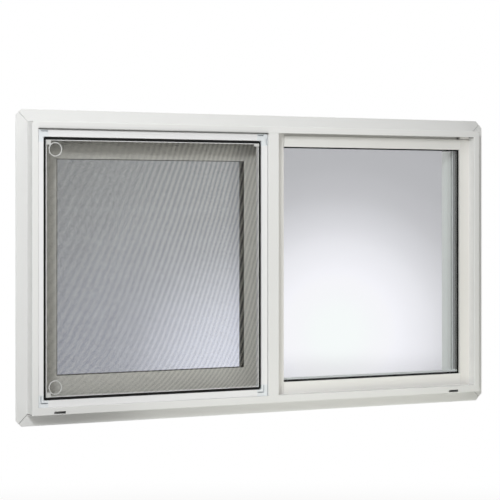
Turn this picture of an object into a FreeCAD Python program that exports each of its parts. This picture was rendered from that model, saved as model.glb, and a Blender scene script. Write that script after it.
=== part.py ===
import FreeCAD, Part
import math
import os

os.makedirs("parts", exist_ok=True)

# Horizontal sliding window in a white vinyl nail-fin frame.
# X runs along the window's width, Y into the wall, Z up, all in millimetres.
# The origin lies on the back of the sill's nail fin, half way along it and half way up it.

# Outline over the nail fin
outline_width = 806.0
outline_height = 451.0
fin_width = 17.3
fin_thickness = 2.0
fin_corner_cut_left = 8.5
fin_corner_cut_right = 11.5
fin_seam_width = 0.8
fin_seam_depth = 1.5
lip_seam_reach = 2.0

# Depth of the frame, from its outdoor face to its indoor face
front_projection = 18.0
frame_depth = 63.5

# Frame extrusion, heights measured inward from its outer wall
floor_height = 7.5
lip_height = 9.8
lip_thickness = 2.0
sill_drip = 1.4
sill_screen_seat = 9.1
screen_channel_width = 9.0
rib_thickness = 2.5
screen_stop_height = 14.0
guide_rib_height = 16.0
indoor_lip_height = 16.3
indoor_lip_thickness = 2.5
track_rib_height = 11.5
track_rib_thickness = 5.0
outer_groove_depth = 3.0
outer_groove_width = 6.0
outer_groove_setback = 12.0
lip_round = 0.8
small_round = 0.6

# Weep slots in the sill's outdoor face
weep_length = 18.0
weep_height = 3.6
weep_rise = 1.5
weep_corner = 0.6
weep_chamber_growth = 1.2
weep_chamber_length = 30.0
weep_from_left_end = 60.0
weep_from_right_end = 67.5

# Middle post between the sliding and the fixed half
post_left = -2.4
post_width = 18.2
post_setback = 0.5
post_stop_reach = 7.0

# Fixed pane and the members that hold it
fixed_top_sight = 29.6
fixed_bottom_sight = 27.8
fixed_side_sight = 27.4
fixed_post_member_width = 16.8
reveal_height = 31.0
top_rail_recess_height = 3.6
top_rail_recess_depth = 9.0
top_rail_end_gap = 0.8
stile_slit_depth = 6.0
fixed_lip_thickness = 4.0
glass_bite = 9.0
pocket_clearance = 1.0
rail_pocket_clearance = 3.2
fixed_unit_rise = 2.0
gasket_thickness = 1.5
gasket_grip = 4.0
gasket_show = 1.8
glass_thickness = 3.0
fixed_cavity = 10.0
fixed_leg_thickness = 2.0
spacer_height = 6.5
spacer_show = 3.2

# Sliding sash
sash_track_gap = 2.0
sash_side_gap = 5.0
sash_top_rail_width = 38.7
sash_bottom_rail_width = 37.2
sash_lock_stile_width = 42.1
sash_meeting_stile_width = 41.6
sash_top_gap = 5.5
sash_bottom_gap = 6.0
meeting_overlap = 4.2
sash_lip_thickness = 3.0
sash_lip_reach = 11.0
sash_gasket_thickness = 0.5
sash_gasket_show = 0.7
sash_spacer_show = 0.8
sash_unit_side_clearance = 3.4
sash_cavity = 6.0
sash_bead_thickness = 3.0
sash_bead_round = 2.0

# Finger pull along the lock stile, on the indoor side
pull_from_edge = 14.0
pull_thickness = 4.0
pull_reach = 4.5
pull_length = 300.0
pull_round = 1.2

# Glides under the sash, each straddling the sill's track rib
glide_length = 45.0
glide_width = 12.0
glide_drop = 4.4
glide_rise = 7.0
glide_from_end = 60.0
glide_side_clearance = 0.5
running_clearance = 0.3

# Pile weather strips on the sash
pile_width = 1.8
pile_edge = 0.8
pile_end_clearance = 3.0

# Cam lock on the meeting stile
lock_length = 62.0
lock_width = 18.0
lock_base_height = 2.5
lock_lever_height = 2.0
lock_lever_length = 44.0
lock_lever_width = 9.0
lock_round = 6.0

# Insect screen
screen_thickness = 8.0
screen_front_gap = 0.4
screen_face_width = 10.6
screen_groove_width = 4.2
screen_groove_depth = 4.4
screen_inner_lip_width = 1.2
screen_inner_lip_drop = 1.3
screen_side_gap = 0.3
screen_top_gap = 3.8
screen_post_gap = 0.5
screen_key_leg = 18.0
screen_key_slot_length = 10.0
screen_key_slot_width = 1.6
screen_key_slot_depth = 4.5
screen_key_slot_top = 2.4
screen_key_slot_bottom = 6.6
screen_round = 1.0
mesh_thickness = 0.3
mesh_openings_across = 10
mesh_openings_up = 10
mesh_bar_width = 2.0
spline_clearance = 0.2
tab_ring_radius = 9.6
tab_wire_radius = 0.9
tab_wire_sides = 6
tab_ring_inset = 13.7
tab_plate_size = 7.0
tab_plate_thickness = 0.8
tab_lift = 0.1
lift_tab_length = 8.5
lift_tab_height = 4.5

# Planes and edges that follow from the sizes above
fin_front = -fin_thickness
frame_front = fin_front - front_projection
frame_back = frame_front + frame_depth
fin_side = outline_width / 2
fin_bottom = -fin_width / 2
fin_top = fin_bottom + outline_height
body_side = fin_side - fin_width
body_bottom = fin_bottom + fin_width
body_top = fin_top - fin_width
floor_side = body_side - floor_height
floor_bottom = body_bottom + floor_height
floor_top = body_top - floor_height
lip_back = frame_front + lip_thickness
channel_back = lip_back + screen_channel_width
indoor_lip_front = frame_back - indoor_lip_thickness
sash_back = indoor_lip_front - sash_track_gap
sash_glass_back = sash_back - sash_bead_thickness
sash_cavity_back = sash_glass_back - glass_thickness
sash_cavity_front = sash_cavity_back - sash_cavity
sash_glass_front = sash_cavity_front - glass_thickness
sash_front = sash_glass_front - sash_gasket_thickness - sash_lip_thickness
sash_middle = (sash_front + sash_back) / 2
fixed_back = sash_front - sash_track_gap
fixed_glass_back = fixed_back - fixed_leg_thickness
fixed_cavity_back = fixed_glass_back - glass_thickness
fixed_cavity_front = fixed_cavity_back - fixed_cavity
fixed_glass_front = fixed_cavity_front - glass_thickness
fixed_front = fixed_glass_front - gasket_thickness - fixed_lip_thickness
guide_front = fixed_back - rib_thickness
post_right = post_left + post_width
post_front = frame_front + post_setback
sash_left = -floor_side + sash_side_gap
sash_right = post_right + meeting_overlap
sash_top = floor_top - sash_top_gap
sash_bottom = floor_bottom + sash_bottom_gap
sill_edge = body_bottom - sill_drip
screen_front = lip_back + screen_front_gap
screen_back = screen_front + screen_thickness
screen_left = -floor_side + screen_side_gap
screen_right = post_left - screen_post_gap
screen_bottom = body_bottom + sill_screen_seat
screen_top = floor_top - screen_top_gap
screen_bar_width = screen_face_width + screen_groove_width + screen_inner_lip_width
far_reach = 200.0


# Solids from rounded outlines

def rounded_wire(corners, place):
    flat = [FreeCAD.Vector(a, b, 0) for a, b, radius in corners]
    count = len(corners)
    turns = []
    for index in range(count):
        radius = corners[index][2]
        corner = flat[index]
        if radius == 0:
            turns.append((corner, None, corner))
            continue
        to_before = (flat[index - 1] - corner).normalize()
        to_after = (flat[(index + 1) % count] - corner).normalize()
        half_angle = to_before.getAngle(to_after) / 2
        run = radius / math.tan(half_angle)
        toward_centre = (to_before + to_after).normalize()
        middle = corner + toward_centre * (radius / math.sin(half_angle) - radius)
        turns.append((corner + to_before * run, middle, corner + to_after * run))
    edges = []
    for index in range(count):
        first, middle, last = turns[index]
        following = turns[(index + 1) % count][0]
        if middle is not None:
            edges.append(Part.Arc(place(first), place(middle), place(last)).toShape())
        edges.append(Part.makeLine(place(last), place(following)))
    return Part.Wire(edges)


def extrusion(corners, place, run):
    return Part.Face(rounded_wire(corners, place)).extrude(run)


def along_x(corners, start, end, height_of):
    def place(point):
        return FreeCAD.Vector(start, point.y, height_of(point.x))
    return extrusion(corners, place, FreeCAD.Vector(end - start, 0, 0))


def along_z(corners, start, end, side_of):
    def place(point):
        return FreeCAD.Vector(side_of(point.x), point.y, start)
    return extrusion(corners, place, FreeCAD.Vector(0, 0, end - start))


def plate(outline, front, back):
    def place(point):
        return FreeCAD.Vector(point.x, front, point.y)
    return extrusion(outline, place, FreeCAD.Vector(0, back - front, 0))


def sharp(points):
    return [(a, b, 0) for a, b in points]


def box(low, high):
    size = [b - a for a, b in zip(low, high)]
    return Part.makeBox(size[0], size[1], size[2], FreeCAD.Vector(low[0], low[1], low[2]))


def ring(outer, inner, front, back):
    return box((outer[0], front, outer[1]), (outer[2], back, outer[3])).cut(
        box((inner[0], front, inner[1]), (inner[2], back, inner[3])))


def grown(edges, amount):
    return (edges[0] - amount, edges[1] - amount, edges[2] + amount, edges[3] + amount)


def save(name, shape):
    shape.removeSplitter().exportStep("parts/" + name + ".step")


def from_left(u):
    return -body_side + u


def from_right(u):
    return body_side - u


def from_bottom(u):
    return body_bottom + u


def from_top(u):
    return body_top - u


# Frame: one extrusion, mitred and welded at the corners

def frame_outline(channel_floor, has_channel, has_track):
    groove_back = frame_back - outer_groove_setback
    groove_front = groove_back - outer_groove_width
    corners = [
        (-fin_width, fin_front, small_round),
        (0, fin_front, 0),
        (0, frame_front, lip_round),
        (lip_height, frame_front, lip_round),
    ]
    if has_channel:
        corners += [
            (lip_height, lip_back, 0),
            (channel_floor, lip_back, 0),
            (channel_floor, channel_back, 0),
            (floor_height, channel_back, 0),
        ]
    else:
        corners += [
            (lip_height, fixed_front, 0),
            (floor_height, fixed_front, 0),
            (floor_height, frame_back, 0),
        ]
    if has_track:
        corners += [
            (floor_height, sash_middle - track_rib_thickness / 2, 0),
            (track_rib_height, sash_middle - track_rib_thickness / 2, lip_round),
            (track_rib_height, sash_middle + track_rib_thickness / 2, lip_round),
            (floor_height, sash_middle + track_rib_thickness / 2, 0),
        ]
    if has_channel:
        corners += [
            (floor_height, indoor_lip_front, 0),
            (indoor_lip_height, indoor_lip_front, small_round),
            (indoor_lip_height, frame_back, lip_round),
        ]
    corners += [
        (0, frame_back, small_round),
        (0, groove_back, 0),
        (outer_groove_depth, groove_back, 0),
        (outer_groove_depth, groove_front, 0),
        (0, groove_front, 0),
        (0, 0, 0),
        (-fin_width, 0, small_round),
    ]
    return [corner for index, corner in enumerate(corners) if corner[:2] != corners[index - 1][:2]]


def screen_stop_outline():
    return [
        (floor_height, channel_back, 0),
        (screen_stop_height, channel_back, small_round),
        (screen_stop_height, channel_back + rib_thickness, small_round),
        (floor_height, channel_back + rib_thickness, 0),
    ]


def sash_guide_outline():
    return [
        (floor_height, guide_front, 0),
        (guide_rib_height, guide_front, small_round),
        (guide_rib_height, fixed_back, small_round),
        (floor_height, fixed_back, 0),
    ]


def reveal_outline():
    return [
        (floor_height, fixed_back, 0),
        (reveal_height, fixed_back, 0),
        (reveal_height, frame_back, lip_round),
        (floor_height, frame_back, 0),
    ]


def fin_seam(side_x, side_z):
    corner = FreeCAD.Vector(side_x * fin_side, fin_front, fin_top if side_z > 0 else fin_bottom)
    inward = FreeCAD.Vector(-side_x, 0, -side_z).normalize()
    half = FreeCAD.Vector(side_z, 0, -side_x).normalize() * (fin_seam_width / 2)
    deep = FreeCAD.Vector(0, fin_seam_depth, 0)
    points = [corner - half, corner + half, corner + half + deep, corner - half + deep]
    outline = Part.makePolygon(points + points[:1])
    return Part.Face(outline).extrude(inward * fin_width * math.sqrt(2))


def lip_seam(side_x):
    corner = FreeCAD.Vector(side_x * body_side, frame_front, body_top)
    inward = FreeCAD.Vector(-side_x, 0, -1).normalize()
    half = FreeCAD.Vector(1, 0, -side_x).normalize() * (fin_seam_width / 2)
    deep = FreeCAD.Vector(0, front_projection, 0)
    points = [corner - half, corner + half, corner + half + deep, corner - half + deep]
    outline = Part.makePolygon(points + points[:1])
    return Part.Face(outline).extrude(inward * lip_seam_reach)


def mitre_wedge(outer_start, outer_end, inward, start_cut, end_cut):
    reach = fin_width + indoor_lip_height + floor_height
    along = (outer_end - outer_start).normalize()
    points = [
        outer_start + along * start_cut,
        outer_end - along * end_cut,
        outer_end + (inward - along) * (end_cut / 2),
        outer_end + (inward - along) * reach,
        outer_start + (inward + along) * reach,
        outer_start + (inward + along) * (start_cut / 2),
    ]
    return plate(sharp([(point.x, point.y) for point in points]), -far_reach, far_reach)


def make_frame():
    top_left = FreeCAD.Vector(-fin_side, fin_top, 0)
    top_right = FreeCAD.Vector(fin_side, fin_top, 0)
    bottom_left = FreeCAD.Vector(-fin_side, fin_bottom, 0)
    bottom_right = FreeCAD.Vector(fin_side, fin_bottom, 0)
    rightward = FreeCAD.Vector(1, 0, 0)
    upward = FreeCAD.Vector(0, 1, 0)

    head = along_x(frame_outline(floor_height, True, False), -fin_side, fin_side, from_top)
    sill = along_x(frame_outline(sill_screen_seat, True, True), -fin_side, fin_side, from_bottom)
    left = along_z(frame_outline(floor_height, True, False), fin_bottom, fin_top, from_left)
    right = along_z(frame_outline(floor_height, False, False), fin_bottom, fin_top, from_right)
    for rib in (screen_stop_outline(), sash_guide_outline()):
        head = head.fuse(along_x(rib, -body_side, post_left, from_top))
        sill = sill.fuse(along_x(rib, -body_side, post_left, from_bottom))
        left = left.fuse(along_z(rib, body_bottom, body_top, from_left))
    left_cut = fin_corner_cut_left
    right_cut = fin_corner_cut_right
    head = head.common(mitre_wedge(top_left, top_right, -upward, left_cut, right_cut))
    sill = sill.common(mitre_wedge(bottom_left, bottom_right, upward, left_cut, right_cut))
    left = left.common(mitre_wedge(bottom_left, top_left, rightward, left_cut, left_cut))
    right = right.common(mitre_wedge(bottom_right, top_right, -rightward, right_cut, right_cut))
    reveal = along_z(reveal_outline(), floor_bottom, floor_top, from_right)
    right = right.fuse(reveal.cut(head).cut(sill))
    drip = along_x(drip_outline(), -body_side, body_side, from_bottom)
    filler = along_x(filler_outline(), post_right, body_side - lip_height, from_bottom)
    sill = sill.fuse(drip.cut(left).cut(right)).fuse(filler)
    sill = sill.cut(weep_slot(-fin_side + weep_from_left_end))
    sill = sill.cut(weep_slot(fin_side - weep_from_right_end))
    return {
        "frame_head": head.cut(fin_seam(-1, 1)).cut(fin_seam(1, 1)).cut(lip_seam(-1)).cut(lip_seam(1)),
        "frame_sill": sill.cut(fin_seam(-1, -1)).cut(fin_seam(1, -1)),
        "frame_jamb_left": left.cut(fin_seam(-1, 1)).cut(fin_seam(-1, -1)).cut(lip_seam(-1)),
        "frame_jamb_right": right.cut(fin_seam(1, 1)).cut(fin_seam(1, -1)).cut(lip_seam(1)),
    }


def drip_outline():
    return [
        (-sill_drip, frame_front, lip_round),
        (lip_height / 2, frame_front, 0),
        (lip_height / 2, fin_front, 0),
        (-sill_drip, fin_front, 0),
    ]


def filler_outline():
    return [
        (floor_height, lip_back, 0),
        (lip_height, lip_back, 0),
        (lip_height, fixed_front, 0),
        (floor_height, fixed_front, 0),
    ]


def weep_slot(middle):
    low = sill_edge + weep_rise
    high = low + weep_height
    half = weep_length / 2
    outline = [
        (middle - half, low, weep_corner),
        (middle + half, low, weep_corner),
        (middle + half, high, weep_corner),
        (middle - half, high, weep_corner),
    ]
    slot = plate(outline, frame_front, lip_back)
    chamber = box(
        (middle - weep_chamber_length / 2, lip_back, low),
        (middle + weep_chamber_length / 2, channel_back, high + weep_chamber_growth),
    )
    return slot.fuse(chamber)


def make_post(head, sill):
    stop_back = channel_back + rib_thickness
    outline = [
        (post_left, post_front, lip_round),
        (post_right, post_front, lip_round),
        (post_right, fixed_back, small_round),
        (post_left, fixed_back, small_round),
        (post_left, stop_back, 0),
        (post_left - post_stop_reach, stop_back, small_round),
        (post_left - post_stop_reach, channel_back, small_round),
        (post_left, channel_back, 0),
    ]
    post = along_z(outline, floor_bottom, floor_top, lambda x: x)
    return post.cut(head).cut(sill)


# Fixed pane

fixed_sight = (
    post_right + fixed_post_member_width,
    body_bottom + fixed_bottom_sight,
    body_side - fixed_side_sight,
    body_top - fixed_top_sight,
)


def fixed_member_outline(width, clearance):
    pocket = width - glass_bite - clearance
    lip_end = fixed_front + fixed_lip_thickness
    return [
        (0, fixed_front, 0),
        (width, fixed_front, lip_round),
        (width, lip_end, 0),
        (pocket, lip_end, 0),
        (pocket, fixed_glass_back, 0),
        (width, fixed_glass_back, 0),
        (width, fixed_back, small_round),
        (0, fixed_back, 0),
    ]


def make_fixed_members(sill):
    left, bottom, right, top = fixed_sight
    top_outline = fixed_member_outline(floor_top - top, rail_pocket_clearance)
    bottom_outline = fixed_member_outline(bottom - floor_bottom, rail_pocket_clearance)
    side_outline = fixed_member_outline(floor_side - right, pocket_clearance)
    post_outline = fixed_member_outline(fixed_post_member_width, pocket_clearance)
    recess_low = body_top - lip_height - top_rail_recess_height
    recess = box(
        (post_right, fixed_front, recess_low),
        (body_side, fixed_front + top_rail_recess_depth, floor_top),
    )
    slit = box(
        (right, fixed_front, recess_low),
        (floor_side, fixed_front + stile_slit_depth, recess_low + top_rail_end_gap),
    )
    rail_top = along_x(top_outline, left + top_rail_end_gap, right, lambda w: floor_top - w)
    rail_bottom = along_x(bottom_outline, left, right, lambda w: floor_bottom + w)
    stile_left = along_z(post_outline, floor_bottom, floor_top, lambda w: post_right + w)
    stile_right = along_z(side_outline, floor_bottom, floor_top, lambda w: floor_side - w)
    return {
        "fixed_stile_left": stile_left.cut(sill),
        "fixed_stile_right": stile_right.cut(slit).cut(sill),
        "fixed_rail_top": rail_top.cut(recess),
        "fixed_rail_bottom": rail_bottom.cut(sill),
    }


def pane(edges, front):
    return box((edges[0], front, edges[1]), (edges[2], front + glass_thickness, edges[3]))


def make_fixed_glazing():
    left, bottom, right, top = grown(fixed_sight, glass_bite)
    glass = (left, bottom + fixed_unit_rise, right, top + fixed_unit_rise)
    spacer_inner = grown(glass, -glass_bite - spacer_show)
    spacer_outer = grown(spacer_inner, spacer_height)
    gasket_inner = grown(fixed_sight, -gasket_show)
    gasket_outer = grown(fixed_sight, gasket_grip)
    gasket_front = fixed_front + fixed_lip_thickness
    return {
        "fixed_glass_outdoor": pane(glass, fixed_glass_front),
        "fixed_glass_indoor": pane(glass, fixed_cavity_back),
        "fixed_spacer": ring(spacer_outer, spacer_inner, fixed_cavity_front, fixed_cavity_back),
        "fixed_gasket": ring(gasket_outer, gasket_inner, gasket_front, fixed_glass_front),
    }


# Sliding sash

sash_edges = (sash_left, sash_bottom, sash_right, sash_top)
sash_sight = (
    sash_left + sash_lock_stile_width,
    sash_bottom + sash_bottom_rail_width,
    sash_right - sash_meeting_stile_width,
    sash_top - sash_top_rail_width,
)


def sash_member_outline(width):
    pocket = width - sash_lip_reach
    lip_end = sash_front + sash_lip_thickness
    return [
        (0, sash_front, small_round),
        (width, sash_front, lip_round),
        (width, lip_end, 0),
        (pocket, lip_end, 0),
        (pocket, sash_back, small_round),
        (0, sash_back, small_round),
    ]


def sash_bead_outline(width):
    pocket = width - sash_lip_reach
    return [
        (pocket, sash_glass_back, 0),
        (width, sash_glass_back, 0),
        (width, sash_back, sash_bead_round),
        (pocket, sash_back, 0),
    ]


def sash_wedge(name):
    left, bottom, right, top = sash_edges
    inner_left, inner_bottom, inner_right, inner_top = sash_sight
    points = {
        "top": [(left, top), (right, top), (inner_right, inner_top), (inner_left, inner_top)],
        "bottom": [(left, bottom), (right, bottom), (inner_right, inner_bottom), (inner_left, inner_bottom)],
        "left": [(left, bottom), (inner_left, inner_bottom), (inner_left, inner_top), (left, top)],
        "right": [(right, bottom), (right, top), (inner_right, inner_top), (inner_right, inner_bottom)],
    }
    return plate(sharp(points[name]), -far_reach, far_reach)


def mitred_sash_set(outline_of):
    left, bottom, right, top = sash_edges
    top_rail = outline_of(sash_top_rail_width)
    bottom_rail = outline_of(sash_bottom_rail_width)
    lock = outline_of(sash_lock_stile_width)
    meeting = outline_of(sash_meeting_stile_width)
    return {
        "top": along_x(top_rail, left, right, lambda w: top - w).common(sash_wedge("top")),
        "bottom": along_x(bottom_rail, left, right, lambda w: bottom + w).common(sash_wedge("bottom")),
        "left": along_z(lock, bottom, top, lambda w: left + w).common(sash_wedge("left")),
        "right": along_z(meeting, bottom, top, lambda w: right - w).common(sash_wedge("right")),
    }


def finger_pull():
    start = sash_left + pull_from_edge
    middle = (sash_bottom + sash_top) / 2
    outline = [
        (start, sash_back, 0),
        (start + pull_thickness, sash_back, 0),
        (start + pull_thickness, sash_back + pull_reach, pull_round),
        (start, sash_back + pull_reach, pull_round),
    ]
    return along_z(outline, middle - pull_length / 2, middle + pull_length / 2, lambda x: x)


def glide_middles():
    return (sash_left + glide_from_end, sash_right - glide_from_end)


def glide(middle):
    rise = sash_bottom + glide_rise
    low = sash_bottom - glide_drop
    half_groove = track_rib_thickness / 2 + glide_side_clearance
    groove_top = body_bottom + track_rib_height + running_clearance
    half_length = glide_length / 2
    body = box(
        (middle - half_length, sash_middle - glide_width / 2, low),
        (middle + half_length, sash_middle + glide_width / 2, rise),
    )
    groove = box(
        (middle - glide_length, sash_middle - half_groove, low),
        (middle + glide_length, sash_middle + half_groove, groove_top),
    )
    return body, groove


def make_sash():
    members = mitred_sash_set(sash_member_outline)
    beads = mitred_sash_set(sash_bead_outline)
    bottom = members["bottom"]
    glides = []
    for middle in glide_middles():
        body, groove = glide(middle)
        bottom = bottom.cut(body)
        glides.append(body.cut(groove))
    return {
        "sash_rail_top": members["top"],
        "sash_rail_bottom": bottom,
        "sash_stile_lock": members["left"].fuse(finger_pull()),
        "sash_stile_meeting": members["right"],
        "sash_bead_top": beads["top"],
        "sash_bead_bottom": beads["bottom"],
        "sash_bead_left": beads["left"],
        "sash_bead_right": beads["right"],
        "sash_glides": Part.makeCompound(glides),
    }


def make_sash_glazing():
    level_bite = sash_lip_reach - pocket_clearance
    side_bite = sash_lip_reach - sash_unit_side_clearance
    left, bottom, right, top = sash_sight
    glass = (left - side_bite, bottom - level_bite, right + side_bite, top + level_bite)
    spacer_inner = grown(glass, -level_bite - sash_spacer_show)
    spacer_outer = grown(spacer_inner, spacer_height)
    gasket_inner = grown(sash_sight, -sash_gasket_show)
    gasket_outer = grown(sash_sight, gasket_grip)
    gasket_front = sash_front + sash_lip_thickness
    return {
        "sash_glass_outdoor": pane(glass, sash_glass_front),
        "sash_glass_indoor": pane(glass, sash_cavity_back),
        "sash_spacer": ring(spacer_outer, spacer_inner, sash_cavity_front, sash_cavity_back),
        "sash_gasket": ring(gasket_outer, gasket_inner, gasket_front, sash_glass_front),
    }


def make_pile():
    front = fixed_back + running_clearance
    back = indoor_lip_front - running_clearance
    left = sash_left + pile_end_clearance
    right = sash_right - pile_end_clearance
    strips = []
    for low in (sash_bottom + pile_edge, sash_top - pile_edge - pile_width):
        strips.append(box((left, front, low), (right, sash_front, low + pile_width)))
        strips.append(box((left, sash_back, low), (right, back, low + pile_width)))
    low = sash_bottom + pile_edge + pile_width + pile_end_clearance
    high = sash_top - pile_edge - pile_width - pile_end_clearance
    middle = (post_left + post_right) / 2
    strips.append(box((middle, front, low), (middle + pile_width, sash_front, high)))
    return Part.makeCompound(strips)


def make_lock():
    middle_x = sash_right - sash_meeting_stile_width / 2
    middle_z = (sash_bottom + sash_top) / 2
    base_back = sash_back + lock_base_height

    def outline(width, low, high, radius):
        return [
            (middle_x - width / 2, low, radius),
            (middle_x + width / 2, low, radius),
            (middle_x + width / 2, high, radius),
            (middle_x - width / 2, high, radius),
        ]
    low = middle_z - lock_length / 2
    base = plate(outline(lock_width, low, low + lock_length, lock_round), sash_back, base_back)
    lever_low = middle_z - lock_lever_length / 2
    lever_outline = outline(lock_lever_width, lever_low, lever_low + lock_lever_length, lock_lever_width / 3)
    lever = plate(lever_outline, base_back, base_back + lock_lever_height)
    return {"sash_lock_base": base, "sash_lock_lever": lever}


# Insect screen

def screen_outline():
    face = screen_face_width
    groove_floor = screen_front + screen_groove_depth
    groove_end = face + screen_groove_width
    lip_front = screen_front + screen_inner_lip_drop
    return [
        (0, screen_front, screen_round),
        (face, screen_front, small_round),
        (face, groove_floor, 0),
        (groove_end, groove_floor, 0),
        (groove_end, lip_front, 0),
        (screen_bar_width, lip_front, small_round),
        (screen_bar_width, screen_back, small_round),
        (0, screen_back, screen_round),
    ]


def screen_key(corner_x, corner_z, inward_x, inward_z):
    reach = screen_key_leg
    level = along_x(
        screen_outline(), corner_x, corner_x + inward_x * reach, lambda w: corner_z + inward_z * w)
    upright = along_z(
        screen_outline(), corner_z, corner_z + inward_z * reach, lambda w: corner_x + inward_x * w)
    corner = FreeCAD.Vector(corner_x, corner_z, 0)
    far = FreeCAD.Vector(corner_x + inward_x * reach, corner_z + inward_z * reach, 0)
    level_half = plate(
        sharp([(corner.x, corner.y), (far.x, corner.y), (far.x, far.y)]), -far_reach, far_reach)
    upright_half = plate(
        sharp([(corner.x, corner.y), (corner.x, far.y), (far.x, far.y)]), -far_reach, far_reach)
    key = level.common(level_half).fuse(upright.common(upright_half))
    slot_back = screen_front + screen_key_slot_depth
    slot_middle = screen_key_slot_bottom if inward_z > 0 else screen_key_slot_top
    half = screen_key_slot_width / 2
    end = reach - screen_round
    start = end - screen_key_slot_length

    def slot(a_low, a_high, b_low, b_high):
        xs = sorted((corner_x + inward_x * a_low, corner_x + inward_x * a_high))
        zs = sorted((corner_z + inward_z * b_low, corner_z + inward_z * b_high))
        return box((xs[0], screen_front, zs[0]), (xs[1], slot_back, zs[1]))
    key = key.cut(slot(start, end, slot_middle - half, slot_middle + half))
    return key.cut(slot(slot_middle - half, slot_middle + half, start, end)).removeSplitter()


def make_screen():
    outline = screen_outline()
    leg = screen_key_leg
    start_x = screen_left + leg
    end_x = screen_right - leg
    start_z = screen_bottom + leg
    end_z = screen_top - leg
    keys = [
        screen_key(screen_left, screen_bottom, 1, 1),
        screen_key(screen_right, screen_bottom, -1, 1),
        screen_key(screen_left, screen_top, 1, -1),
        screen_key(screen_right, screen_top, -1, -1),
    ]
    groove_inset = screen_face_width + spline_clearance
    spline_width = screen_groove_width - 2 * spline_clearance
    edges = (screen_left, screen_bottom, screen_right, screen_top)
    spline_back = screen_front + screen_groove_depth
    mesh_back = screen_front + screen_inner_lip_drop
    mesh_front = mesh_back - mesh_thickness
    mesh_edges = grown(edges, -(screen_face_width + screen_groove_width))
    spline_outer = grown(edges, -groove_inset)
    spline_inner = grown(spline_outer, -spline_width)
    return {
        "screen_bar_top": along_x(outline, start_x, end_x, lambda w: screen_top - w),
        "screen_bar_bottom": along_x(outline, start_x, end_x, lambda w: screen_bottom + w),
        "screen_bar_left": along_z(outline, start_z, end_z, lambda w: screen_left + w),
        "screen_bar_right": along_z(outline, start_z, end_z, lambda w: screen_right - w),
        "screen_corner_keys": Part.makeCompound(keys),
        "screen_spline": ring(spline_outer, spline_inner, mesh_front, spline_back),
        "screen_mesh": open_sheet(mesh_edges, mesh_front, mesh_back),
        "screen_pull_tabs": Part.makeCompound([
            pull_tab(mesh_edges[0], mesh_edges[1], 1, mesh_front),
            pull_tab(mesh_edges[0], mesh_edges[3], -1, mesh_front),
            lift_tab(mesh_edges[2], mesh_edges[3], mesh_front),
        ]),
    }


def open_sheet(edges, front, back):
    left, bottom, right, top = edges
    step_x = (right - left - mesh_bar_width) / mesh_openings_across
    step_z = (top - bottom - mesh_bar_width) / mesh_openings_up
    openings = []
    for column in range(mesh_openings_across):
        low_x = left + mesh_bar_width + column * step_x
        for row in range(mesh_openings_up):
            low_z = bottom + mesh_bar_width + row * step_z
            openings.append(box(
                (low_x, front, low_z),
                (low_x + step_x - mesh_bar_width, back, low_z + step_z - mesh_bar_width),
            ))
    return box((left, front, bottom), (right, back, top)).cut(Part.makeCompound(openings))


def pull_tab(corner_x, corner_z, upward, mesh_front):
    ring_y = mesh_front - tab_wire_radius - tab_lift
    centre = FreeCAD.Vector(corner_x + tab_ring_inset, ring_y, corner_z + upward * tab_ring_inset)
    turns = [2 * math.pi * side / tab_wire_sides for side in range(tab_wire_sides)]
    outward = [tab_ring_radius + tab_wire_radius * math.cos(turn) for turn in turns]
    forward = [tab_wire_radius * math.sin(turn) for turn in turns]
    section = [centre + FreeCAD.Vector(a, b, 0) for a, b in zip(outward, forward)]
    wire_face = Part.Face(Part.makePolygon(section + section[:1]))
    loop = wire_face.revolve(centre, FreeCAD.Vector(0, 1, 0), 360)
    foot_z = sorted((corner_z, corner_z + upward * tab_plate_size))
    foot = box(
        (corner_x, mesh_front - tab_plate_thickness, foot_z[0]),
        (corner_x + tab_plate_size, mesh_front, foot_z[1]),
    )
    return foot.fuse(loop)


def lift_tab(corner_x, corner_z, mesh_front):
    return box(
        (corner_x - lift_tab_length, mesh_front - tab_plate_thickness, corner_z - lift_tab_height),
        (corner_x, mesh_front, corner_z),
    )


# Every piece in its own file

pieces = make_frame()
pieces["middle_post"] = make_post(pieces["frame_head"], pieces["frame_sill"])
pieces.update(make_fixed_members(pieces["frame_sill"]))
pieces.update(make_fixed_glazing())
pieces.update(make_sash())
pieces.update(make_sash_glazing())
pieces["sash_pile_strips"] = make_pile()
pieces.update(make_lock())
pieces.update(make_screen())
for piece_name, piece_shape in pieces.items():
    save(piece_name, piece_shape)
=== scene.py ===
import math

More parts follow.
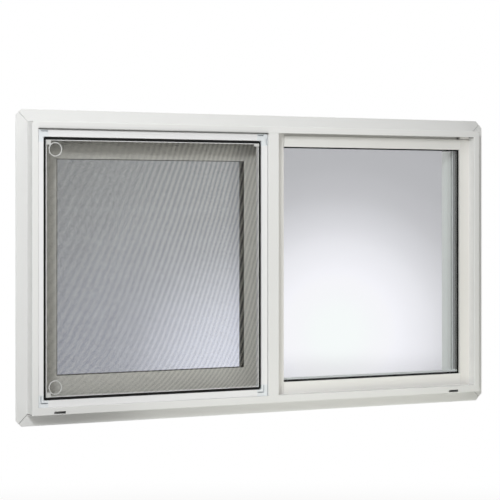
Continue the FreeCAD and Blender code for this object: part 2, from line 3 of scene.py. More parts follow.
import bpy
import numpy as np
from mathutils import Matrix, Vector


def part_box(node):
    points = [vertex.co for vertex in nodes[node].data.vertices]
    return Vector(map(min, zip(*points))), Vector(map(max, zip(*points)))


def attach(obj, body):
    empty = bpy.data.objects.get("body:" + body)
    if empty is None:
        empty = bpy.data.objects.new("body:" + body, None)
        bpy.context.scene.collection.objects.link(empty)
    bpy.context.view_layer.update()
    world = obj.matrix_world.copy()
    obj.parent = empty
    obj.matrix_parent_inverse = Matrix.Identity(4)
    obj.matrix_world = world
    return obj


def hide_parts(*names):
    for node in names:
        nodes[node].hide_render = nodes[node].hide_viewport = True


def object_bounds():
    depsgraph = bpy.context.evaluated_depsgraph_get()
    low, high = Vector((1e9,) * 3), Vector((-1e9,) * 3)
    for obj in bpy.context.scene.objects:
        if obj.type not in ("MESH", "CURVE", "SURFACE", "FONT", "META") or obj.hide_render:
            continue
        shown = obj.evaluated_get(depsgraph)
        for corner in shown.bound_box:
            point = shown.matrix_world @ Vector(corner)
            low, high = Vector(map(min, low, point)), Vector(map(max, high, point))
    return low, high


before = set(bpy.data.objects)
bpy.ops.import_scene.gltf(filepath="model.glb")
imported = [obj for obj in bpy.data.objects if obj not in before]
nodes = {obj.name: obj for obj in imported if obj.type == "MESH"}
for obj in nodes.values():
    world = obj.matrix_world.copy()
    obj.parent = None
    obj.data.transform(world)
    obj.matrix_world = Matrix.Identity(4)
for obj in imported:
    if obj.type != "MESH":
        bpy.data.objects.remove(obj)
cadLow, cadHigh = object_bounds()
print("frame loaded:", len(nodes), "pieces")


# Shader maths: a wired socket that adds its own Math nodes

class Wire:
    def __init__(self, finish, socket):
        self.finish = finish
        self.socket = socket

    def joined(self, operation, first, second=None):
        made = self.finish.node("ShaderNodeMath", {"operation": operation},
                                {0: first} if second is None else {0: first, 1: second})
        return Wire(self.finish, made.outputs[0])

    def __add__(self, other):
        return self.joined("ADD", self, other)

    def __radd__(self, other):
        return self.joined("ADD", other, self)

    def __sub__(self, other):
        return self.joined("SUBTRACT", self, other)

    def __rsub__(self, other):
        return self.joined("SUBTRACT", other, self)

    def __mul__(self, other):
        return self.joined("MULTIPLY", self, other)

    def __rmul__(self, other):
        return self.joined("MULTIPLY", other, self)

    def __truediv__(self, other):
        return self.joined("DIVIDE", self, other)

    def __pow__(self, other):
        return self.joined("POWER", self, other)

    def above(self, level):
        return self.joined("GREATER_THAN", self, level)

    def larger(self, other):
        return self.joined("MAXIMUM", self, other)

    def sine(self):
        return self.joined("SINE", self)

    def size(self):
        return self.joined("ABSOLUTE", self)


softEdge = 0.9      # share of a painted edge that is fully covered


class Finish:
    def __init__(self, name, owner=None):
        self.owner = owner or bpy.data.materials.new(name)
        self.owner.use_nodes = True
        self.tree = self.owner.node_tree
        self.tree.nodes.clear()

    # any node: its type, its settings (set first), then values or links for its sockets
    def node(self, kind, settings=None, sockets=None):
        made = self.tree.nodes.new(kind)
        for key, value in (settings or {}).items():
            if key == "stops":
                self.setStops(made.color_ramp, value)
            else:
                setattr(made, key, value)
        for key, value in (sockets or {}).items():
            socket = made.inputs[key]
            if isinstance(value, Wire):
                self.tree.links.new(value.socket, socket)
            else:
                socket.default_value = value
        return made

    def setStops(self, ramp, stops):
        ramp.interpolation = "CARDINAL"
        while len(ramp.elements) < len(stops):
            ramp.elements.new(1.0)
        for element, (place, colour) in zip(ramp.elements, stops):
            element.position = place
            element.color = (*colour, 1.0)

    def out(self, made, key=0):
        return Wire(self, made.outputs[key])

    def place(self):
        return self.out(self.node("ShaderNodeTexCoord"), "Object")

    def axes(self, vector):
        made = self.node("ShaderNodeSeparateXYZ", None, {0: vector})
        return [self.out(made, axis) for axis in range(3)]

    def stretched(self, scale):
        return self.out(self.node("ShaderNodeMapping", None, {"Vector": self.place(), "Scale": scale}))

    def noise(self, where, scale, detail=2.0):
        made = self.node("ShaderNodeTexNoise", {"noise_dimensions": "3D"},
                         {"Vector": where, "Scale": scale, "Detail": detail})
        return self.out(made)

    def colours(self, share, first, second, blend="MIX"):
        made = self.node("ShaderNodeMix", {"data_type": "RGBA", "blend_type": blend},
                         {0: share, 6: first, 7: second})
        return self.out(made, 2)

    # a value that follows a share from low to high
    def between(self, share, low, high):
        return low + share * (high - low)

    def step(self, value, low, high):
        made = self.node("ShaderNodeMapRange", {"interpolation_type": "SMOOTHSTEP"},
                         {"Value": value, "From Min": low, "From Max": high})
        return self.out(made)

    # 1 within reach of a middle value, 0 beyond it
    def near(self, value, middle, reach):
        return 1.0 - self.step((value - middle).size(), reach * softEdge, reach)

    def bump(self, height, strength, distance):
        made = self.node("ShaderNodeBump", None,
                         {"Height": height, "Strength": strength, "Distance": distance})
        return self.out(made)

    def blend(self, share, first, second):
        return self.node("ShaderNodeMixShader", None,
                         {0: share, 1: self.out(first), 2: self.out(second)})

    def close(self, shader):
        self.node("ShaderNodeOutputMaterial", None, {"Surface": self.out(shader)})
        return self.owner


def rgb(red, green, blue):
    return (red, green, blue, 1.0)


white = rgb(1.0, 1.0, 1.0)
black = rgb(0.0, 0.0, 0.0)


# Meshes

def makeObject(name, points, faces, material):
    mesh = bpy.data.meshes.new(name)
    mesh.from_pydata(points.reshape(-1, 3).tolist(), [], faces.reshape(-1, 4).tolist())
    mesh.materials.append(material)
    made = bpy.data.objects.new(name, mesh)
    bpy.context.scene.collection.objects.link(made)
    return made


# faces of a section carried round a closed path: a row for each place on it, a column for each point
def closedFaces(rows, columns):
    row, column = np.meshgrid(np.arange(rows), np.arange(columns), indexing="ij")
    nextRow, nextColumn = (row + 1) % rows, (column + 1) % columns
    return np.stack([row * columns + column, row * columns + nextColumn,
                     nextRow * columns + nextColumn, nextRow * columns + column], axis=-1)


def hide(made, *rays):
    for ray in rays:
        setattr(made, "visible_" + ray, False)


cardFace = np.array([[0, 1, 2, 3]])


# Camera: level, turned to the right, with the lens shifted down

cameraSetup = {
    "place": (-1.4208, -2.5435, 0.29955),
    "turnDegrees": 28.8,
    "focalPixels": 1918.3,
    "imagePixels": 500.0,
    "centrePixel": 250.7,
    "horizonPixel": 209.6,
    "sensorWidth": 36.0,
    "nearest": 0.1,
    "farthest": 100.0,
}


def makeCamera(setup):
    data = bpy.data.cameras.new("viewCamera")
    data.sensor_fit = "HORIZONTAL"
    data.sensor_width = setup["sensorWidth"]
    data.lens = setup["focalPixels"] / setup["imagePixels"] * setup["sensorWidth"]
    data.shift_x = (setup["imagePixels"] / 2 - setup["centrePixel"]) / setup["imagePixels"]
    data.shift_y = (setup["horizonPixel"] - setup["imagePixels"] / 2) / setup["imagePixels"]
    data.clip_start = setup["nearest"]
    data.clip_end = setup["farthest"]
    camera = bpy.data.objects.new("viewCamera", data)
    camera.location = setup["place"]
    camera.rotation_euler = (math.pi / 2, 0.0, -math.radians(setup["turnDegrees"]))
    bpy.context.scene.collection.objects.link(camera)
    bpy.context.scene.camera = camera


makeCamera(cameraSetup)
print("camera placed")


# Studio: white surround, pale floor, four lamps, shading cards and the glow seen through the glass

studio = {
    "surround": 1.0,
    "ambient": 0.45,
    "ambientTint": (1.0, 0.995, 0.945),
    "floorDrop": 0.75,
    "floorRadius": 5.0,
    "floorColour": (0.86, 0.86, 0.85),
    "floorRings": 24,
    "floorSpokes": 96,
    "floorMatt": 0.3,           # from here outward the floor turns white, in shares of its radius
    "floorWhite": 0.95,
}

# each lamp: place, width, power, colour and the point it is aimed at
lamps = {
    "keyLamp": ((-1.20, -1.30, 1.05), 0.40, 15.8, (0.97, 0.985, 1.0), (0.0, 0.0, 0.2)),
    "topLamp": ((0.15, -0.62, 1.35), 0.50, 2.6, (1.0, 1.0, 1.0), (0.1, 0.0, 0.2)),
    "backLamp": ((1.30, 1.70, 1.30), 0.60, 20.0, (1.0, 1.0, 1.0), (0.0, 0.0, 0.2)),
    "bounceLamp": ((0.28, -0.50, -0.28), 0.40, 0.85, (0.99, 1.0, 0.86), (0.28, 0.0, 0.05)),
}

# cards that keep light off the ends, the sill, the head's edge and the recess: tone, low and high corner
flags = {
    "rightFlag": (0.02, (0.50, -0.40, -0.25), (0.50, 0.35, 0.70)),
    "leftFlag": (0.30, (-0.75, -0.10, -0.25), (-0.75, 0.35, 0.70)),
    "lowFlag": (0.05, (-0.38, -0.20, -0.055), (-0.23, 0.10, -0.055)),
    "brow": (0.10, (-0.376, -0.0235, 0.4154), (-0.003, -0.0201, 0.4154)),
    "recessTop": (0.02, (-0.373, 0.005, 0.389), (-0.003, 0.005, 0.412)),
    "recessLeft": (0.02, (-0.373, -0.004, 0.022), (-0.350, -0.004, 0.389)),
}
flagFelt = {
    "scale": 60.0,
    "gain": 1.2,                # the pale fibres' tone, against the card's
}


def makeSurround(setup):
    world = bpy.data.worlds.new("surround")
    bpy.context.scene.world = world
    finish = Finish("surround", world)
    path = finish.node("ShaderNodeLightPath")
    seen = finish.out(path, "Is Camera Ray").larger(finish.out(path, "Is Glossy Ray"))
    seen = seen.larger(finish.out(path, "Is Transmission Ray"))
    soft = finish.node("ShaderNodeBackground", None,
                       {"Color": rgb(*setup["ambientTint"]), "Strength": setup["ambient"]})
    plain = finish.node("ShaderNodeBackground", None, {"Color": white, "Strength": setup["surround"]})
    mixed = finish.blend(seen, soft, plain)
    finish.node("ShaderNodeOutputWorld", None, {"Surface": finish.out(mixed)})


# a disc in rings: radius times the cosine and the sine of the angle
def makeFloor(setup):
    rings, spokes = setup["floorRings"], setup["floorSpokes"]
    radius = np.linspace(0.0, 1.0, rings)[:, None] * setup["floorRadius"]
    angle = np.linspace(0.0, 2 * np.pi, spokes, endpoint=False)
    level = np.full((rings, spokes), cadLow[2] - setup["floorDrop"])
    grid = np.stack([radius * np.cos(angle), radius * np.sin(angle), level], axis=-1)
    ring, spoke = np.meshgrid(np.arange(rings - 1), np.arange(spokes), indexing="ij")
    after = (spoke + 1) % spokes
    quads = np.stack([ring * spokes + spoke, (ring + 1) * spokes + spoke,
                      (ring + 1) * spokes + after, ring * spokes + after], axis=-1)
    finish = Finish("paleFloor")
    apart = finish.node("ShaderNodeVectorMath", {"operation": "LENGTH"}, {0: finish.place()})
    edge = finish.step(finish.out(apart, "Value"), setup["floorRadius"] * setup["floorMatt"],
                       setup["floorRadius"] * setup["floorWhite"])
    matt = finish.node("ShaderNodeBsdfDiffuse", None, {"Color": rgb(*setup["floorColour"])})
    bright = finish.node("ShaderNodeEmission", None, {"Color": white, "Strength": 1.0})
    floor = makeObject("studioFloor", grid, quads, finish.close(finish.blend(edge, matt, bright)))


def makeLamp(name, place, size, power, colour, aim):
    data = bpy.data.lights.new(name, "AREA")
    data.shape = "DISK"
    data.size = size
    data.energy = power
    data.color = colour
    lamp = bpy.data.objects.new(name, data)
    lamp.location = place
    toward = np.array(aim) - np.array(place)
    level = math.hypot(toward[0], toward[1])
    lamp.rotation_euler = (math.atan2(level, -toward[2]), 0.0, math.atan2(-toward[0], toward[1]))
    hide(lamp, "camera", "glossy", "transmission")
    bpy.context.scene.collection.objects.link(lamp)


# a flat card: each corner takes the low or the high value along the two axes in which they differ
def makeFlag(name, felt, tone, low, high):
    first, second = np.flatnonzero(np.array(high) > np.array(low))
    atHigh = np.zeros((4, 3), dtype=bool)
    atHigh[[1, 2], first] = True
    atHigh[[2, 3], second] = True
    finish = Finish(name)
    pale = tone * felt["gain"]
    fibres = finish.colours(finish.noise(finish.place(), felt["scale"]), rgb(tone, tone, tone),
                            rgb(pale, pale, pale))
    matt = finish.node("ShaderNodeBsdfDiffuse", None, {"Color": fibres})
    card = makeObject(name, np.where(atHigh, high, low), cardFace, finish.close(matt))
    hide(card, "camera", "glossy", "transmission")


backdrop = {
    "distance": 4.0,                     # metres from the camera, along its view
    "halfWidth": 3.0,
    "halfHeight": 2.0,
    "brightPixel": (337.0, 332.0),       # the middle of the glow
    "spread": 320.0,                     # pixels from there to the end of the ramp
    "stops": [(0.0, 1.02), (32.0, 0.985), (65.0, 0.925), (97.0, 0.755), (130.0, 0.54), (162.0, 0.43),
              (195.0, 0.395), (227.0, 0.34), (270.0, 0.29), (320.0, 0.25)],
    "tint": (1.035, 0.993, 1.057),
    "leftFrom": -53.0,                   # left of here, in pixels, the glow widens and sinks
    "leftTo": -97.0,
    "leftStretch": 0.57,
    "leftDrop": 43.0,
    "leftTint": (0.970, 1.005, 1.090),
    "highTint": (0.970, 1.005, 0.985),   # the same, at the top
    "highFrom": -40.0,
    "highTo": 170.0,
    "farFrom": -130.0,                   # farther left it narrows again
    "farTo": -280.0,
    "farStretch": 0.20,
    "lowFrom": -15.0,                    # below here the glow falls away faster
    "lowTo": -44.0,
    "lowFall": 0.17,
}


# a card square to the view: corner = across * width + up * height, seen only through the glass
def makeBackdrop(setup, view):
    turn = math.radians(view["turnDegrees"])
    ahead = np.array([math.sin(turn), math.cos(turn), 0.0])
    across = np.array([math.cos(turn), -math.sin(turn), 0.0])
    up = np.array([0.0, 0.0, 1.0])
    perPixel = setup["distance"] / view["focalPixels"]
    rightward = (setup["brightPixel"][0] - view["centrePixel"]) * perPixel
    downward = (setup["brightPixel"][1] - view["horizonPixel"]) * perPixel
    side = np.array([-1.0, 1.0, 1.0, -1.0])[:, None] * across * setup["halfWidth"]
    rise = np.array([-1.0, -1.0, 1.0, 1.0])[:, None] * up * setup["halfHeight"]
    finish = Finish("glassBackdrop")

    # pixels from the bright middle in one direction
    def pixels(direction):
        made = finish.node("ShaderNodeVectorMath", {"operation": "DOT_PRODUCT"},
                           {0: finish.place(), 1: tuple(direction / perPixel)})
        return finish.out(made, "Value")

    level, height = pixels(across), pixels(up)
    leftShare = finish.step(level, setup["leftFrom"], setup["leftTo"])
    farShare = finish.step(level, setup["farFrom"], setup["farTo"])
    lowShare = finish.step(height, setup["lowFrom"], setup["lowTo"]) * (1.0 - leftShare)
    highShare = finish.step(height, setup["highFrom"], setup["highTo"])
    wide = level * (1.0 - leftShare * (1.0 - setup["leftStretch"]) + farShare * setup["farStretch"])
    high = height + leftShare * setup["leftDrop"]
    apart = (wide * wide + high * high) ** 0.5
    tint = np.array(setup["tint"])
    stops = [(place / setup["spread"], tuple(tint * glow)) for place, glow in setup["stops"]]
    ramp = finish.node("ShaderNodeValToRGB", {"stops": stops}, {0: apart / setup["spread"]})
    faded = finish.colours(lowShare * setup["lowFall"], finish.out(ramp), black)
    cool = finish.colours(highShare, rgb(*setup["leftTint"]), rgb(*setup["highTint"]))
    cooled = finish.colours(leftShare, faded, cool, "MULTIPLY")
    glow = finish.node("ShaderNodeEmission", None, {"Color": cooled, "Strength": 1.0})
    card = makeObject("glassBackdrop", side + rise, cardFace, finish.close(glow))
    card.location = np.array(view["place"]) + ahead * setup["distance"] + across * rightward - up * downward
    hide(card, "camera", "diffuse", "glossy", "shadow")


makeSurround(studio)
makeFloor(studio)
for lampName, lampSetup in lamps.items():
    makeLamp(lampName, *lampSetup)
for flagName, flagSetup in flags.items():
    makeFlag(flagName, flagFelt, *flagSetup)
makeBackdrop(backdrop, cameraSetup)
print("studio lit")


# Vinyl of frame, fixed half and sash

vinyl = {
    "light": rgb(0.815, 0.815, 0.810),
    "dull": rgb(0.785, 0.785, 0.778),
    "mottleScale": 9.0,
    "mottleDetail": 3.0,
    "lineScale": 520.0,
    "lineDetail": 1.0,
    "lineStretch": 0.012,         # extrusion lines run along the member
    "lineStrength": 0.35,
    "lineDepth": 0.00003,
    "roughLow": 0.30,
    "roughHigh": 0.42,
    "index": 1.53,
}
# painted light and shade: the fixed stiles wear a darker, warmer shaded copy of the vinyl, the fixed rails
# a lighter lit copy, and the recessed sash a darker shaded copy
fixedShadedVinyl = dict(vinyl, light=rgb(0.812, 0.798, 0.776), dull=rgb(0.787, 0.773, 0.750))
railLitVinyl = dict(vinyl, light=rgb(0.890, 0.882, 0.862), dull=rgb(0.865, 0.857, 0.836))
sashShadedVinyl = dict(vinyl, light=rgb(0.74, 0.735, 0.695), dull=rgb(0.71, 0.705, 0.665))
alongX, alongZ = 0, 2

# dark dirt with painted crease shade in the frame's corner joints, and painted shade in the weep slots
frameMarks = {
    "middleHeight": (cadLow[2] + cadHigh[2]) / 2,
    "joint": (cadHigh[0] - cadLow[0] - cadHigh[2] + cadLow[2]) / 2,     # where the mitres run
    "jointReach": 0.0005,
    "jointFront": -0.0185,        # no joint dirt or shade is painted on the outdoor face
    "jointOuter": 0.3845,         # nor on the lower lips' inner sides
    "jointDirtAndShadeColour": rgb(0.04, 0.04, 0.038),
    "litCornerLeft": (-0.1, 0.1),     # none on the upper left joint, which the key lamp lights
    "litCornerTop": (0.1, 0.3),
    "slots": (-0.3430, 0.3355),   # their middles across, then half their sizes and their other middles
    "slotReach": 0.0153,
    "slotHeight": 0.01118,
    "slotRise": 0.0025,
    "slotDepth": -0.01415,
    "slotDeep": 0.0053,
    # painted shade: the weep slots' insides are painted near black
    "slotShadeColour": rgb(0.003, 0.003, 0.003),
}


# a joint is where distance across less height from the middle is the mitres' value, and a slot is a box
def addMarks(finish, colour, setup):
    x, y, z = finish.axes(finish.place())
    apart = x.size() - (z - setup["middleHeight"]).size()
    left = 1.0 - finish.step(x, *setup["litCornerLeft"])
    jointDirtAndShade = 1.0 - left * finish.step(z, *setup["litCornerTop"])
    jointDirtAndShade = jointDirtAndShade * x.size().above(setup["jointOuter"]).larger(z.above(setup["middleHeight"]))
    joint = finish.near(apart, setup["joint"], setup["jointReach"]) * y.above(setup["jointFront"]) * jointDirtAndShade
    first, second = (finish.near(x, middle, setup["slotReach"]) for middle in setup["slots"])
    slot = first.larger(second) * finish.near(z, setup["slotHeight"], setup["slotRise"])
    slot = slot * finish.near(y, setup["slotDepth"], setup["slotDeep"])
    # the joints get dark dirt with painted crease shade, the weep slots get painted shade
    colour = finish.colours(joint, colour, setup["jointDirtAndShadeColour"])
    return finish.colours(slot, colour, setup["slotShadeColour"])


def makeVinyl(name, setup, alongAxis, marks=None):
    finish = Finish(name)
    stretch = [1.0, 1.0, 1.0]
    stretch[alongAxis] = setup["lineStretch"]
    lines = finish.noise(finish.stretched(stretch), setup["lineScale"], setup["lineDetail"])
    mottle = finish.noise(finish.place(), setup["mottleScale"], setup["mottleDetail"])
    colour = finish.colours(mottle, setup["light"], setup["dull"])
    if marks:
        colour = addMarks(finish, colour, marks)
    shader = finish.node("ShaderNodeBsdfPrincipled", None, {
        "Base Color": colour, "Roughness": finish.between(mottle, setup["roughLow"], setup["roughHigh"]),
        "IOR": setup["index"], "Normal": finish.bump(lines, setup["lineStrength"], setup["lineDepth"])})
    return finish.close(shader)


# Glass, which lets light through to what lies behind it

glassLook = {
    "tint": rgb(0.955, 0.975, 0.973),
    "shade": rgb(0.90, 0.91, 0.905),
    "index": 1.5,
    "smudgeScale": 14.0,
    "smudgeDetail": 4.0,
    "smudgePower": 4.0,
    "smudgeRough": 0.012,
}


def makeGlass(name, setup):
    finish = Finish(name)
    smudge = finish.noise(finish.place(), setup["smudgeScale"], setup["smudgeDetail"])
    clear = finish.node("ShaderNodeBsdfPrincipled", None, {
        "Base Color": setup["tint"], "Roughness": smudge ** setup["smudgePower"] * setup["smudgeRough"],
        "IOR": setup["index"], "Transmission Weight": 1.0})
    passing = finish.node("ShaderNodeBsdfTransparent", None, {"Color": setup["shade"]})
    path = finish.node("ShaderNodeLightPath")
    return finish.close(finish.blend(finish.out(path, "Is Shadow Ray"), clear, passing))


# Plain finishes: light and dull colour, mottle scale, roughness from and to, shine, depth of the grain

plainLooks = {
    "gasketRubber": (rgb(0.006, 0.006, 0.006), rgb(0.010, 0.010, 0.010), 70.0, 0.55, 0.75, 0.15, 0.0),
    "splineCord": (rgb(0.006, 0.006, 0.006), rgb(0.011, 0.011, 0.011), 90.0, 0.55, 0.75, 0.2, 0.0001),
    "screenPaint": (rgb(0.865, 0.862, 0.875), rgb(0.835, 0.832, 0.845), 18.0, 0.28, 0.38, 0.5, 0.0),
    "keyPlastic": (rgb(0.80, 0.83, 0.86), rgb(0.77, 0.80, 0.83), 40.0, 0.35, 0.5, 0.5, 0.0),
    "tabPlastic": (rgb(0.62, 0.62, 0.61), rgb(0.54, 0.54, 0.53), 120.0, 0.25, 0.35, 0.5, 0.0),
    "pileFibre": (rgb(0.35, 0.35, 0.35), rgb(0.22, 0.22, 0.22), 900.0, 0.8, 0.95, 0.2, 0.0002),
    "glideNylon": (rgb(0.72, 0.72, 0.69), rgb(0.66, 0.66, 0.63), 60.0, 0.4, 0.5, 0.5, 0.0),
    "lockEnamel": (rgb(0.82, 0.82, 0.81), rgb(0.79, 0.79, 0.78), 50.0, 0.22, 0.32, 0.5, 0.0),
}
plainGrain = {
    "mottleDetail": 3.0,
    "finer": 30.0,              # the grain's scale, against the mottle's
    "strength": 0.4,
}


def makePlain(name, setup, light, dull, scale, roughLow, roughHigh, shine, grain):
    finish = Finish(name)
    mottle = finish.noise(finish.place(), scale, setup["mottleDetail"])
    sockets = {
        "Base Color": finish.colours(mottle, light, dull),
        "Roughness": finish.between(mottle, roughLow, roughHigh), "Specular IOR Level": shine}
    if grain:
        fine = finish.noise(finish.place(), scale * setup["finer"])
        sockets["Normal"] = finish.bump(fine, setup["strength"], grain)
    return finish.close(finish.node("ShaderNodeBsdfPrincipled", None, sockets))


# Spacer bars between the panes

fixedBar = {
    "light": rgb(0.26, 0.26, 0.255),
    "dull": rgb(0.20, 0.20, 0.195),
    "mottleScale": 240.0,
    "mottleDetail": 3.0,
    "ledge": rgb(0.85, 0.87, 0.86),     # painted light on the lower bar's upward face
    "ledgeFrom": 0.0045,
    "ledgeTo": 0.0070,
    "ledgeFade": 1.2,
    "seal": rgb(0.008, 0.008, 0.008),
    "sealWidth": 0.0011,
    "glint": rgb(0.95, 0.96, 0.955),    # painted highlight along the indoor pane
    "glintWidth": 0.0024,
    "roughLow": 0.35,
    "roughHigh": 0.55,
    "shine": 0.4,
}
# the sash's spacer is a shaded copy: painted shade makes it near black, its ledge and indoor edge too
sashShadedBar = dict(fixedBar, light=rgb(0.06, 0.055, 0.052), dull=rgb(0.04, 0.036, 0.034),
               ledge=rgb(0.01, 0.01, 0.01), glint=rgb(0.008, 0.008, 0.008), glintWidth=0.0011)


# sealant along the outdoor pane and below, a painted highlight along the indoor pane, painted light on top
# of the lower side
def makeSpacer(name, setup, node):
    low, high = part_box(node)
    finish = Finish(name)
    depth, height = finish.axes(finish.place())[1:]
    facing = finish.axes(finish.out(finish.node("ShaderNodeNewGeometry"), "Normal"))[1]
    inside = 1.0 - facing * facing
    sealed = finish.near(depth, low[1], setup["sealWidth"]) * inside
    edge = finish.near(depth, high[1], setup["glintWidth"]) * inside
    rise = height - low[2]
    raised = finish.step(rise, setup["ledgeFrom"] * softEdge, setup["ledgeFrom"])
    paintedLedge = raised * (1.0 - finish.step(rise, setup["ledgeTo"], setup["ledgeTo"] * setup["ledgeFade"]))
    sunk = (1.0 - raised).larger(sealed)
    mottle = finish.noise(finish.place(), setup["mottleScale"], setup["mottleDetail"])
    bar = finish.colours(mottle, setup["light"], setup["dull"])
    # painted light on the lower bar's upward face (painted shade on the sash's spacer), then the painted
    # highlight at the indoor edge
    bar = finish.colours(paintedLedge, bar, setup["ledge"])
    bar = finish.colours(edge, bar, setup["glint"])
    shader = finish.node("ShaderNodeBsdfPrincipled", None, {
        "Base Color": finish.colours(sunk, bar, setup["seal"]),
        "Roughness": finish.between(mottle, setup["roughLow"], setup["roughHigh"]),
        "Specular IOR Level": setup["shine"]})
    return finish.close(shader)


# Coat of the insect mesh, with pale diagonal bands of painted light and shade standing in for the strands'
# moiré against their own shadows

strandLook = {
    "light": rgb(0.52, 0.505, 0.455),
    "dark": rgb(0.01, 0.01, 0.009),
    "middle": (0.36, 0.12),             # tone at the left, and how much it gains to the right
    "bands": (22.8, 13.9),              # bands across the mesh, and how they tighten to the right
    "lean": 15.8,                       # bands shifted up the mesh
    "sag": (3.6, 13.0),                 # more of that at the lower edge, and how fast it fades upward
    "swing": (0.28, 0.84),              # contrast at the left, and how much it grows to the right
    "swingFrom": 0.30,                  # where it starts and ends to grow, as shares of the width
    "swingTo": 0.75,
    "swingLow": 0.60,                   # more of it at the lower edge, as a share
    "grain": 1.6,                       # uneven strands
    "grainScale": 450.0,
    "grainMiddle": 0.5,
    "drift": 0.8,                       # wandering bands
    "driftScale": 9.0,
    "backTone": 0.12,                   # the indoor side is plain charcoal
    "roughLow": 0.5,
    "roughHigh": 0.65,
}


# outdoors, tone = middle + swing * sine of (bands across the mesh, less their lean up it, plus drift)
def makeStrandCoat(name, setup, node):
    low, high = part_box(node)
    finish = Finish(name)
    x, z = finish.axes(finish.place())[::2]
    across = (x - low[0]) / (high[0] - low[0])
    rise = (z - low[2]) / (high[2] - low[2])
    bands = across * setup["bands"][0] + across * across * setup["bands"][1]
    lean = rise * setup["lean"] - (1.0 - rise) ** setup["sag"][1] * setup["sag"][0]
    drift = finish.noise(finish.place(), setup["driftScale"]) * setup["drift"]
    growing = finish.step(across, setup["swingFrom"], setup["swingTo"])
    contrast = (setup["swing"][0] + growing * setup["swing"][1]) * (1.0 + (1.0 - rise) * setup["swingLow"])
    grain = (finish.noise(finish.place(), setup["grainScale"]) - setup["grainMiddle"]) * setup["grain"]
    middle = setup["middle"][0] + across * setup["middle"][1] + grain
    # painted light and shade: diagonal bands that grow lighter and stronger to the right and toward the
    # lower edge
    tone = ((bands - lean + drift) * (2 * math.pi)).sine() * (contrast / 2) + middle
    back = finish.axes(finish.out(finish.node("ShaderNodeNewGeometry"), "Normal"))[1].above(0.0)
    tone = tone * (1.0 - back) + back * setup["backTone"]
    shader = finish.node("ShaderNodeBsdfPrincipled", None, {
        "Base Color": finish.colours(tone, setup["dark"], setup["light"]),
        "Roughness": finish.between(tone, setup["roughLow"], setup["roughHigh"])})
    return finish.close(shader)


# Finishes and the pieces that wear them

finishes = {
    "frameAcross": makeVinyl("frameAcross", vinyl, alongX, frameMarks),
    "frameUpright": makeVinyl("frameUpright", vinyl, alongZ, frameMarks),
    "postUpright": makeVinyl("postUpright", vinyl, alongZ),
    "fixedAcross": makeVinyl("fixedAcross", railLitVinyl, alongX),
    "fixedUpright": makeVinyl("fixedUpright", fixedShadedVinyl, alongZ),
    "sashAcross": makeVinyl("sashAcross", sashShadedVinyl, alongX),
    "sashUpright": makeVinyl("sashUpright", sashShadedVinyl, alongZ),
    "clearGlass": makeGlass("clearGlass", glassLook),
    "fixedSpacer": makeSpacer("fixedSpacer", fixedBar, "fixed_spacer"),
    "sashSpacer": makeSpacer("sashSpacer", sashShadedBar, "sash_spacer"),
    "strandCoat": makeStrandCoat("strandCoat", strandLook, "screen_mesh"),
}
for plainName, plainLook in plainLooks.items():
    finishes[plainName] = makePlain(plainName, plainGrain, *plainLook)

wearing = {
    "frameAcross": ["frame_head", "frame_sill"],
    "frameUpright": ["frame_jamb_left", "frame_jamb_right"],
    "postUpright": ["middle_post"],
    "fixedAcross": ["fixed_rail_top", "fixed_rail_bottom"],
    "fixedUpright": ["fixed_stile_left", "fixed_stile_right"],
    "sashAcross": ["sash_rail_top", "sash_rail_bottom", "sash_bead_top", "sash_bead_bottom"],
    "sashUpright": ["sash_stile_lock", "sash_stile_meeting", "sash_bead_left", "sash_bead_right"],
    "clearGlass": ["fixed_glass_outdoor", "fixed_glass_indoor", "sash_glass_outdoor", "sash_glass_indoor"],
    "fixedSpacer": ["fixed_spacer"],
    "sashSpacer": ["sash_spacer"],
    "gasketRubber": ["fixed_gasket", "sash_gasket"],
    "splineCord": ["screen_spline"],
    "screenPaint": ["screen_bar_top", "screen_bar_bottom", "screen_bar_left", "screen_bar_right"],
    "keyPlastic": ["screen_corner_keys"],
    "tabPlastic": ["screen_pull_tabs"],
    "strandCoat": ["screen_mesh"],
    "pileFibre": ["sash_pile_strips"],
    "glideNylon": ["sash_glides"],
    "lockEnamel": ["sash_lock_base", "sash_lock_lever"],
}

for finishName, wearers in wearing.items():
    for nodeName in wearers:
        materials = nodes[nodeName].data.materials
        materials.clear()
        materials.append(finishes[finishName])
print("finishes set on", sum(len(wearers) for wearers in wearing.values()), "pieces")


# Insect mesh: straight coated strands, upright ones in front of level ones

strandSetup = {
    "uprightPerInch": 18.0,
    "levelPerInch": 16.0,
    "width": 0.00022,
    "layerOffset": 0.00010,
}
inch = 0.0254


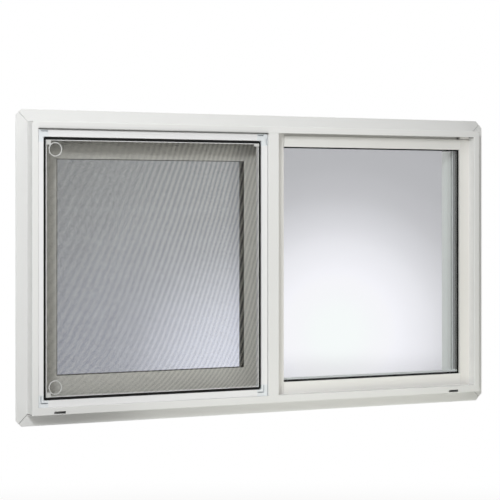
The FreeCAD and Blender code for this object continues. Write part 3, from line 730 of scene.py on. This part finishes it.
# a strand is a diamond profile carried straight from one edge of the mesh to the other
def makeStrands(setup):
    low, high = (np.array(corner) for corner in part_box("screen_mesh"))
    middleY = (low[1] + high[1]) / 2
    half = setup["width"] / 2
    diamond = np.array([[-half, 0.0], [0.0, -half], [half, 0.0], [0.0, half]])
    corners = len(diamond)

    def strandSet(acrossAxis, alongAxis, pitch, depth):
        count = int((high[acrossAxis] - low[acrossAxis] - setup["width"]) / pitch)
        first = (low[acrossAxis] + high[acrossAxis] - (count - 1) * pitch) / 2
        across = first + np.arange(count) * pitch
        points = np.zeros((count, 2, corners, 3))
        points[..., acrossAxis] = across[:, None, None] + diamond[:, 0]
        points[..., 1] = depth + diamond[:, 1]
        points[:, 0, :, alongAxis] = low[alongAxis]
        points[:, 1, :, alongAxis] = high[alongAxis]
        return points

    upright = strandSet(alongX, alongZ, inch / setup["uprightPerInch"], middleY - setup["layerOffset"])
    level = strandSet(alongZ, alongX, inch / setup["levelPerInch"], middleY + setup["layerOffset"])
    side = np.arange(corners)
    after = (side + 1) % corners
    walls = np.stack([side, after, after + corners, side + corners], axis=-1)
    shape = np.concatenate([walls, [side[::-1], side + corners]])
    start = np.arange(len(upright) + len(level))[:, None, None] * (2 * corners)
    faces = np.concatenate([start[:len(upright)] + shape, start[len(upright):] + shape[:, ::-1]])
    strands = makeObject("insectStrands", np.concatenate([upright, level]), faces, finishes["strandCoat"])
    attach(strands, "frame")
    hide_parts("screen_mesh")
    print("insect mesh:", len(upright), "upright and", len(level), "level strands")


makeStrands(strandSetup)


# Spline: the ribbed cord pressed into the screen's groove

cordSetup = {
    "width": 0.0037,
    "depth": 0.0033,
    "grooveWidth": 0.0038,
    "cornerRadius": 0.0024,
    "ribPitch": 0.0024,
    "ribHeight": 0.035,           # as a share of the section
    "ribSamples": 3,
    "cornerSamples": 8,
    "sectionSamples": 12,
    "waver": 0.00012,
    "waverRates": (61.0, 143.0),  # radians for each metre of cord
}


# an oval section carried round a rectangle with round corners; section size = 1 - rib * (1 - cosine) / 2
def makeCord(setup):
    low, high = (np.array(corner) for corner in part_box("screen_spline"))
    inset = setup["grooveWidth"] / 2 + setup["cornerRadius"]
    centres = np.array([[high[0] - inset, high[2] - inset], [low[0] + inset, high[2] - inset],
                        [low[0] + inset, low[2] + inset], [high[0] - inset, low[2] + inset]])
    turn = np.linspace(0.0, np.pi / 2, setup["cornerSamples"])
    cores, outwards = [], []
    for number, centre in enumerate(centres):
        angle = turn + number * np.pi / 2
        outward = np.stack([np.cos(angle), np.sin(angle)], axis=-1)
        following = centres[(number + 1) % len(centres)]
        steps = int(np.abs(following - centre).sum() / setup["ribPitch"] * setup["ribSamples"])
        share = (np.arange(1, steps) / steps)[:, None]
        cores += [np.repeat(centre[None], len(angle), axis=0), centre + (following - centre) * share]
        outwards += [outward, np.repeat(outward[-1:], steps - 1, axis=0)]
    outward = np.concatenate(outwards)
    middle = np.concatenate(cores) + outward * setup["cornerRadius"]
    length = np.cumsum(np.linalg.norm(middle - np.roll(middle, 1, axis=0), axis=1))
    rib = 1.0 - setup["ribHeight"] * (1.0 - np.cos(2 * np.pi * length / setup["ribPitch"])) / 2
    waver = setup["waver"] * np.prod([np.sin(length * rate) for rate in setup["waverRates"]], axis=0)
    around = np.linspace(0.0, 2 * np.pi, setup["sectionSamples"], endpoint=False)
    sideways = waver[:, None] + rib[:, None] * np.cos(around) * setup["width"] / 2
    points = np.zeros((len(middle), len(around), 3))
    points[..., 0] = middle[:, None, 0] + outward[:, None, 0] * sideways
    points[..., 1] = (low[1] + high[1]) / 2 + rib[:, None] * np.sin(around) * setup["depth"] / 2
    points[..., 2] = middle[:, None, 1] + outward[:, None, 1] * sideways
    cord = makeObject("splineCord", points, closedFaces(len(middle), len(around)), finishes["splineCord"])
    cord.data.polygons.foreach_set("use_smooth", np.ones(len(cord.data.polygons), dtype=bool))
    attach(cord, "frame")
    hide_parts("screen_spline")
    print("spline cord:", len(middle), "sections")


makeCord(cordSetup)


# Spacer of the fixed pane, a hair narrower than the space between the panes

spacerSetup = {
    "height": 0.0065,
    "gap": 0.00015,
    "edge": 0.0006,
}


# a bevelled section of (inset, depth) points carried round the four corners of a rectangle
def makeSpacerBar(setup):
    low, high = (np.array(corner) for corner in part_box("fixed_spacer"))
    front, back = low[1] + setup["gap"], high[1] - setup["gap"]
    edge, height = setup["edge"], setup["height"]
    section = np.array([[0.0, front], [0.0, back], [height - edge, back], [height, back - edge],
                        [height, front + edge], [height - edge, front]])
    atRight = np.array([True, False, False, True])
    atTop = np.array([True, True, False, False])
    inset, depth = section[:, 0], section[:, 1]
    points = np.zeros((len(atRight), len(section), 3))
    points[..., 0] = np.where(atRight[:, None], high[0] - inset, low[0] + inset)
    points[..., 1] = depth
    points[..., 2] = np.where(atTop[:, None], high[2] - inset, low[2] + inset)
    bar = makeObject("spacerBar", points, closedFaces(len(atRight), len(section)), finishes["fixedSpacer"])
    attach(bar, "frame")
    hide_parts("fixed_spacer")
    print("spacer bar made")


makeSpacerBar(spacerSetup)

bpy.context.scene.view_settings.view_transform = "Standard"
